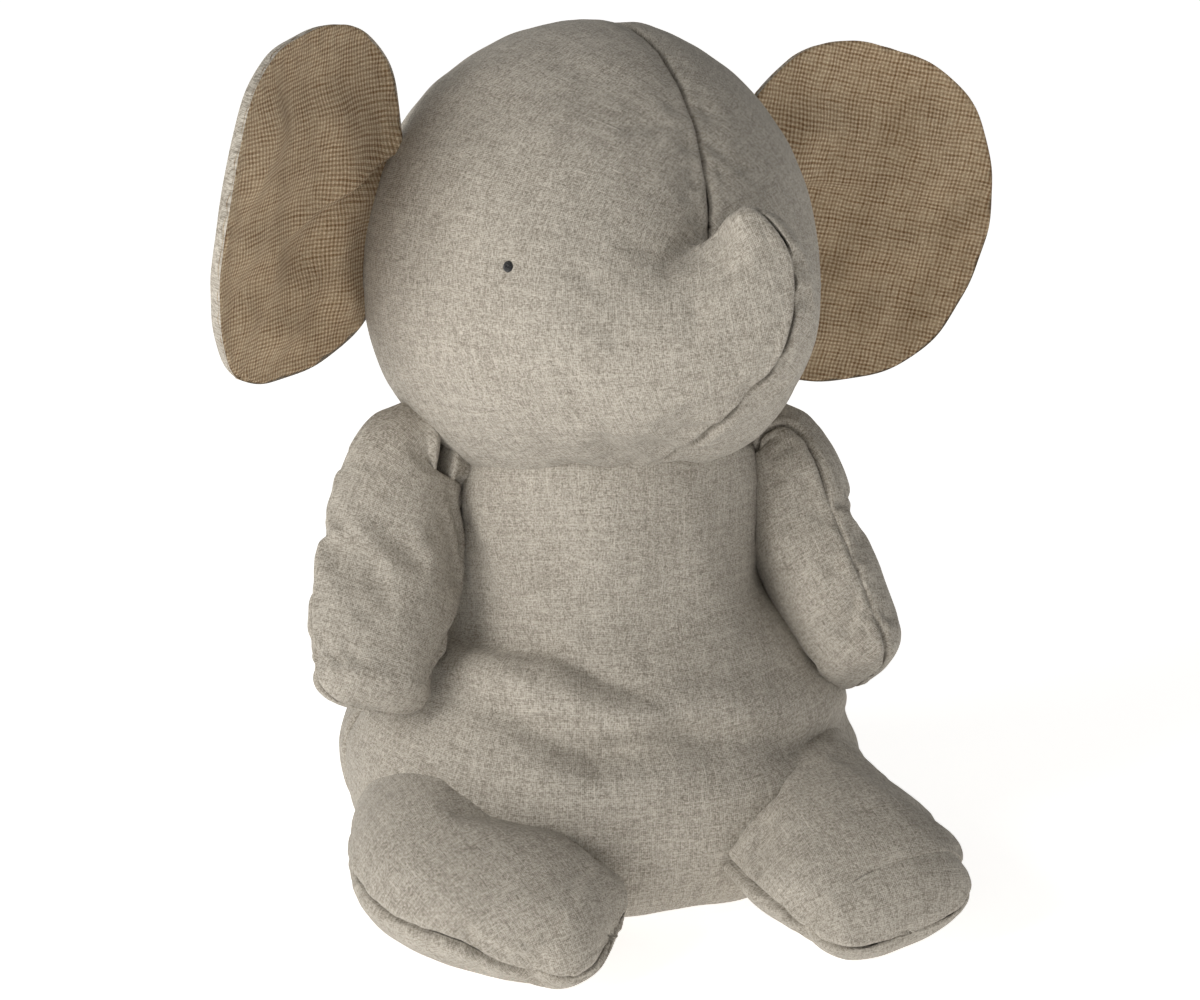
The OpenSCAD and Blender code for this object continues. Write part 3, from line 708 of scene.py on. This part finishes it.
# Each path's middle, half width and half thickness, and the direction of the width.
ARM_TABLES = {
    "left": [[55, 15, 167, 12, 12], [67, 12, 171, 18, 16], [72, 6, 161, 25, 19], [77, -4, 139, 27.5, 20],
             [85, -18, 117, 28, 20], [93, -32, 99, 24, 17]],
    "right": [[-58, 14, 170, 12, 12], [-78, 11, 175, 20, 17], [-85, 4, 162, 26, 20], [-91, -9, 139, 28.5, 21],
              [-98, -25, 118, 28, 20], [-102, -38, 102, 24, 16]]}
ARM_SIDES = {"left": [0.35, -0.88, 0.3], "right": [-0.95, -0.15, 0.25]}
LEG_TABLES = {
    "left": [[66, -34, 36, 35, 31], [70, -60, 34, 40, 28], [77, -84, 31, 42, 27], [85, -103, 28, 40, 25],
             [89, -113, 24, 35, 21]],
    "right": [[-70, -34, 36, 36, 32], [-77, -58, 34, 37, 30], [-72, -80, 31, 38, 28.5], [-54, -97, 28, 34, 26.5],
              [-36, -108, 23, 28, 21]]}
for side in ("left", "right"):
    arm = limb_grid(ARM_TABLES[side], ARM_SIDES[side], 22, 36)
    bag("arm_" + side, arm, seams=(0, 18), poles=(True, True), cap=3.0)
    leg = limb_grid(LEG_TABLES[side], [1.0, 0, 0], 22, 44)
    bag("leg_" + side, leg, seams=(0, 22), poles=(True, True), cap=3.5)
FILLED = fill_bags()

# %% [markdown]
# ## Sewing the panels
# Each filled skin is cut at its seams into panels.


# %% Torso panels
def columns_of(grid, first, last):
    """Columns first..last of a closed grid, both seams included."""
    return grid[:, np.arange(first, last + 1) % grid.shape[1]]


def torso_folds(p, n):
    """Sitting folds over the belly: valleys along smooth lines across the front, each with a roll above and below."""
    x, z = p[..., 0], p[..., 2]
    front = np.clip((-p[..., 1] + 8) / 30, 0, 1)
    low = np.interp(x, [-110, -75, -52, -32, -19, 0, 14, 56, 98, 120], [96, 95, 91, 84, 80, 81, 84, 75, 62, 58])
    d = z - low
    reach = 1 / (1 + np.exp((-x - 56) / 6)) * (0.6 + 0.4 * np.exp(-((x + 16) / 30) ** 2))
    move = reach * (-8.0 * np.exp(-(d / np.where(d > 0, 3.6, 8)) ** 2) + 5.2 * np.exp(-((d - 11) / 8) ** 2)
                    + 2.2 * np.exp(-((d + 17) / 9) ** 2))
    high = np.interp(x, [-100, -72, -34, 1, 30], [104, 108, 113, 97, 88])
    d = z - high
    reach = 1 / (1 + np.exp((x + 8) / 9))
    move = move + reach * (-5.2 * np.exp(-(d / np.where(d > 0, 5, 3)) ** 2) + 3.2 * np.exp(-((d + 10) / 6) ** 2))
    lap = z - np.interp(x, [0, 40, 90], [58, 66, 70])
    move = move - 2.0 * np.exp(-(lap / 3.5) ** 2) * np.clip((x - 12) / 20, 0, 1)
    notch = np.exp(-((z - 122) / 9) ** 2) * np.clip((x - 40) / 15, 0, 1)
    return front * move - 2.5 * notch


TORSO = FILLED["torso"]
TORSO[..., 2] = np.maximum(TORSO[..., 2], 0.5)
for name, first, last, nodes, seed in (
        ("torso_front_skin", 0, 36, ("torso_front_panel", "torso_stuffing", "seat_pellet_pouch"), 1),
        ("torso_back_left_skin", 36, 54, ("torso_back_left_panel",), 2),
        ("torso_back_right_skin", 54, 72, ("torso_back_right_panel", "neck_stuffing"), 3)):
    skin = panel(name, columns_of(TORSO, first, last), (True, False), seed, nodes, extra=torso_folds)
    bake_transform(skin)

# %% Head panels
HEAD = FILLED["head"]


def on_skin(azimuth, height):
    """The filled head's point in a direction from its centre, given in degrees, and the outward normal there."""
    a, h = math.radians(azimuth), math.radians(height)
    aim = HEAD_TURN @ np.array([math.sin(a) * math.cos(h), -math.cos(a) * math.cos(h), math.sin(h)])
    away = (HEAD - HEAD_CENTRE) / np.linalg.norm(HEAD - HEAD_CENTRE, axis=-1, keepdims=True)
    spot = np.unravel_index(np.argmax(away @ aim), away.shape[:2])
    return HEAD_CENTRE + aim * np.linalg.norm(HEAD[spot] - HEAD_CENTRE), normals(HEAD)[spot]


EYES = {"left": on_skin(50, 6.5), "right": on_skin(-50, 6.5)}


def head_dents(p, n):
    """A dimple where each eye's thread pulls the cloth in, and faint puckers where the trunk leaves the cheeks."""
    move = 0
    for place, out in EYES.values():
        d = np.linalg.norm(p - place, axis=-1)
        move = move - 1.5 * np.exp(-(d / 3.5) ** 2) - 1.1 * np.exp(-(d / 11) ** 2)
    local = (p - HEAD_CENTRE) @ HEAD_TURN
    root = np.exp(-((-local[..., 1] - 88) / 9) ** 2) * np.exp(-((local[..., 2] - 2) / 40) ** 2)
    across = local[..., 2] - 0.6 * np.abs(local[..., 0])
    lines = ripple(np.stack([across, 0 * across, 0 * across], -1), 11, 77, 7)
    return move + 0.55 * root * lines


for name, first, last, nodes, seed in (
        ("head_left_skin", 0, 32, ("head_left_panel", "trunk_left_panel", "trunk_stuffing"), 11),
        ("head_right_skin", 32, 64, ("head_right_panel", "trunk_right_panel", "head_stuffing"), 12)):
    skin = panel(name, columns_of(HEAD, first, last), (True, True), seed, nodes, extra=head_dents, pucker=0.3)
    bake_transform(skin)

# %% Arm and leg panels
for side, s, seed in (("left", 1, 21), ("right", -1, 31)):
    for k, part in enumerate(("outer", "inner") if s > 0 else ("inner", "outer")):
        nodes = (f"arm_{side}_{part}_panel",) + ((f"arm_{side}_stuffing",) if part == "inner" else ())
        skin = panel(f"arm_{side}_{part}_skin", columns_of(FILLED["arm_" + side], 18 * k, 18 * k + 18),
                     (True, True), seed + k, nodes, step=1.2, pucker=0.5, wave=0.35)
        "arm_" + side
        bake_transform(skin)
    for k, part in enumerate(("under", "upper")):
        nodes = (f"leg_{side}_{part}_panel",) + ((f"leg_{side}_stuffing",) if part == "under" else ())
        skin = panel(f"leg_{side}_{part}_skin", columns_of(FILLED["leg_" + side], 22 * k, 22 * k + 22),
                     (True, True), seed + 4 + k, nodes, pucker=0.75)
        "leg_" + side
        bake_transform(skin)

# %% [markdown]
# ## Ears
# An ear is a leaf of check cloth in front and linen behind, with a thin layer of wadding, sewn round its edge and
# turned. It curls forward on a curved sheet, and a small tuck at the root makes a fold across it. The corners are
# angles round the leaf where it is fuller or slighter than its plain oval.

# %% Ear shape
HEAD_SIDE, HEAD_BACK, HEAD_EDGE, ROOT_EDGE = 87.5, 90, 91, 86.0  # the head's half sizes, and its outline's radii
LEAF_CENTRE = 0.48  # share of the width from the root to the leaf's centre


class Ear:
    """One ear's measurements: where its root sits on the head, and how its sheet runs and curls from there."""

    def __init__(self, side, azimuth, start, curl, lift, width, height, lean, tuck_height, tuck_slope,
                 corners=()):
        self.side, self.lift, self.width, self.height = side, lift, width, height
        self.start, self.turn = math.radians(start), math.radians(curl) / width
        self.root = (HEAD_SIDE * math.sin(math.radians(azimuth)), -HEAD_BACK * math.cos(math.radians(azimuth)))
        self.lean = math.radians(lean)
        self.tuck_height, self.tuck_slope = tuck_height, tuck_slope
        self.corners = corners

    def sheet(self, run, z, h):
        """A point on the curled sheet: run along the curve from the root, z up, h towards the front."""
        c, s = math.cos(self.lean), math.sin(self.lean)
        run, z = run * c + z * s, z * c - run * s
        b = self.start - self.turn * run
        side = self.root[0] + (math.sin(self.start) - np.sin(b)) / self.turn + h * np.sin(b)
        back = self.root[1] + (np.cos(b) - math.cos(self.start)) / self.turn - h * np.cos(b)
        return from_head(np.stack([self.side * side, back, self.lift + z], -1))

    def outline(self, q):
        """Radius of the leaf at angle q: a superellipse, cut at the root by a circle just inside the head."""
        c, s = np.cos(q), np.sin(q)
        leaf = ((np.abs(c) / (self.width * 0.52)) ** 2.3 + (np.abs(s) / (self.height * 0.5)) ** 2.3) ** (-1 / 2.3)
        for corner, size in self.corners:
            away = (q - math.radians(corner) + math.pi) % (2 * math.pi) - math.pi
            leaf = leaf * (1 + size * np.exp(-(away / 0.42) ** 2))
        leaf = leaf * (1 + 0.010 * np.sin(3 * q + self.side) + 0.006 * np.sin(7 * q + 1) + 0.003 * np.sin(16 * q))
        centre = np.array([-(HEAD_EDGE + self.width * LEAF_CENTRE), -0.5 * self.lift])
        toward = c * centre[0] + s * centre[1]
        inside = toward ** 2 - (centre @ centre - ROOT_EDGE ** 2)
        reach = np.where((inside > 0) & (toward > 0), toward - np.sqrt(np.maximum(inside, 0)), 1e6)
        return np.minimum(leaf, reach)


EARS = {"left": Ear(1, 112, 9, 45, 21, 120, 146, 2, 8, 0.08),
        "right": Ear(-1, 110, -14, 32, 19, 112, 142, 8, 10, -0.4, ((135, 0.11), (228, 0.12), (318, -0.07)))}


def ear_piece(name, ear, front, nodes, body, seed):
    """Half of the ear: a polar grid of the leaf, crowned towards the front or the back, with its own thread map."""
    rings, spokes = 60, 340
    r = (1 - (1 - np.linspace(0, 1, rings)) ** 1.3)[:, None]
    q = (2 * math.pi * np.arange(spokes) / spokes)[None]
    radius = r * ear.outline(q)
    run = ear.width * LEAF_CENTRE + radius * np.cos(q)
    z = radius * np.sin(q)
    edge = (1 - r) * ear.outline(q)
    full = np.broadcast_to(r, z.shape)
    flat = np.stack([run, z, 0 * z], -1)
    rim = np.clip(edge / 20, 0, 1)
    mid = rim * (2.2 * ripple(flat, 55, seed) + 1.0 * ripple(flat, 24, seed + 1))
    mid = mid + 2.0 * ripple(flat, 85, seed + 2) * (run / ear.width) ** 2
    d = z - ear.tuck_height - ear.tuck_slope * run
    near = np.exp(-(np.maximum(run, 0) / 40) ** 2)
    tuck = near * (8.5 * np.exp(-np.clip(d, 0, 99) / 20) / (1 + np.exp(-d / 0.8))
                   - 3.0 * np.exp(-(np.minimum(d, 0) / 9) ** 2))
    mid = mid + 0.75 * tuck + 2.2 * np.exp(-edge / 3.5)
    if front:
        h = mid + 4.6 * np.clip(1 - full ** 3, 0, 1) ** 0.6 + 0.25 * tuck
        h = h + 0.5 * ripple(flat, 9, seed + 3) * np.exp(-edge / 7) - 0.9 * np.exp(-(edge / 1.1) ** 2)
    else:
        h = mid - 4.4 * np.clip(1 - full ** 8, 0, 1) ** 0.4 - 2.2 * np.exp(-edge / 3.5) * np.clip(edge / 2, 0, 1)
    grid = ear.sheet(run, z, h)
    uv = np.stack([run + 0.5 * tuck, z + 1.2 * tuck], -1) * MM
    if (ear.side > 0) == front:
        grid, uv = grid[:, ::-1], uv[:, ::-1]
    obj, used = grid_mesh(name, grid, uv, poles=(True, False), closed=True)
    obj.data.materials.append(CHECK if front else GREY)
    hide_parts(*nodes)
    print(f"{name}: {len(obj.data.polygons)} faces")
    root = joint_point(body + "_flap")
    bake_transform(obj)
    return obj


for side, ear in EARS.items():
    ear_piece(f"ear_{side}_front_skin", ear, True, (f"ear_{side}_front", f"ear_{side}_wadding"), "ear_" + side, 41)
    ear_piece(f"ear_{side}_back_skin", ear, False, (f"ear_{side}_back",), "ear_" + side, 41)

# %% [markdown]
# ## Eyes
# Each eye is a French knot: a thick thread wound three times round the needle and pulled down into a button.

# %% Eyes
knot = Shade("eye_thread", roughness=0.5, sheen=0.2)
ku, kv = knot.uv()
twist = ((ku * 900.0 + kv * 2600.0) * 6.283).sin()
# The twist stripes in this colour are painted light on the crowns of the plies and painted shade in the grooves; the
# thread itself is one near-black colour.
EYE = knot.finish(knot.mix(twist.ramp(-1.0, 1.0), (0.006, 0.006, 0.007), (0.05, 0.048, 0.05)), twist, 0.6, 0.0003)


def tube(path, radius, sides=10):
    """A round thread along a path: circles of the given radius square to the path."""
    way = np.gradient(path, axis=0)
    way /= np.linalg.norm(way, axis=1, keepdims=True)
    up = np.cross(way, [0.31, 0.2, 0.93])
    up /= np.linalg.norm(up, axis=1, keepdims=True)
    across = np.cross(up, way)
    q = (2 * math.pi * np.arange(sides) / sides)[None, :, None]
    r = np.broadcast_to(radius, (len(path),))[:, None, None]
    return path[:, None] + r * (np.cos(q) * across[:, None] + np.sin(q) * up[:, None])


def french_knot(name, centre, out, up, node, body):
    """Three flat turns of thread that tighten and rise, on the cloth at centre."""
    side = np.cross(up, out)
    t = np.linspace(0, 1, 120)
    q = 2 * math.pi * 3.1 * t
    r = 1.75 - 1.3 * t ** 1.4
    h = 0.35 + 1.15 * np.sin(t * math.pi / 2)
    path = centre + (r * np.cos(q))[:, None] * side + (r * np.sin(q))[:, None] * up + h[:, None] * out
    radius = 0.62 * np.clip(np.minimum(t, 1 - t) * 30, 0.05, 1) ** 0.5
    grid = tube(path, radius)
    uv = np.stack(np.meshgrid(np.linspace(0, 1, 10) * 0.004, t * 0.035), -1)
    obj, used = grid_mesh(name, grid[:, ::-1], uv, poles=(False, False), closed=True)
    obj.data.materials.append(EYE)
    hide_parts(node)
    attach(obj, body)
    return obj


for side, (place, out) in EYES.items():
    up = HEAD_TURN[:, 2] - out * (HEAD_TURN[:, 2] @ out)
    french_knot(f"eye_{side}_knot", place - 2.1 * out, out, up / np.linalg.norm(up), f"eye_{side}", "head")

# %% [markdown]
# ## Tail
# The tail is a thin stuffed cord of the same linen. A tuft of loose yarns is bound into its end.

# %% Tail
TAIL = joint_point("tail_swing")
TAIL_WAY = np.array([0, math.sin(math.radians(14)), -math.cos(math.radians(14))])
t = np.linspace(0, 1, 40)[:, None]
cord_path = TAIL + [0, -9, 1] + t * [0, 9, -1] + TAIL_WAY * 41 * t + [0.8, 0, 0] * np.sin(3 * math.pi * t)
cord = tube(cord_path, 4.6 - 1.1 * t[:, 0] + 0.15 * np.sin(26 * t[:, 0]), 28)
seam_uv = np.stack(np.meshgrid(np.linspace(0, 0.028, 28), t[:, 0] * 0.044), -1)
cord_skin, used = grid_mesh("tail_cord_skin", cord[:, ::-1], seam_uv, closed=True)
cord_skin.data.materials.append(GREY)
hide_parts("tail_cord")
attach(cord_skin, "tail")
YARNS, GOLDEN_ANGLE = 46, 2.4
rng = np.random.default_rng(5)
yarns = []
for k in range(YARNS):
    spread = 3.4 * math.sqrt((k + 0.5) / YARNS)
    angle = GOLDEN_ANGLE * k
    aside = spread * np.array([math.cos(angle), math.sin(angle), 0])
    u = np.linspace(0, 1, 12)[:, None]
    bend = aside * (0.75 + 1.0 * np.sin(u * math.pi * 0.7)) + 0.5 * rng.normal(size=3) * u
    yarns.append(tube(cord_path[-4] + bend + TAIL_WAY * rng.uniform(13.5, 15.5) * u, 0.62, 7)[:, ::-1])
yarn_uv = np.stack(np.meshgrid(np.linspace(0, 0.004, 7), np.linspace(0, 0.015, 12)), -1)
whole = [grid_mesh(f"yarn_{k}", yarn, yarn_uv, closed=True)[0] for k, yarn in enumerate(yarns)]
with bpy.context.temp_override(active_object=whole[0], selected_editable_objects=whole, object=whole[0]):
    bpy.ops.object.join()
tuft = whole[0]
tuft.name = "tail_tuft_yarns"
print("tail:", YARNS, "yarns,", len(tuft.data.polygons), "faces")
tuft.data.materials.append(GREY)
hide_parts("tail_tuft")
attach(tuft, "tail")
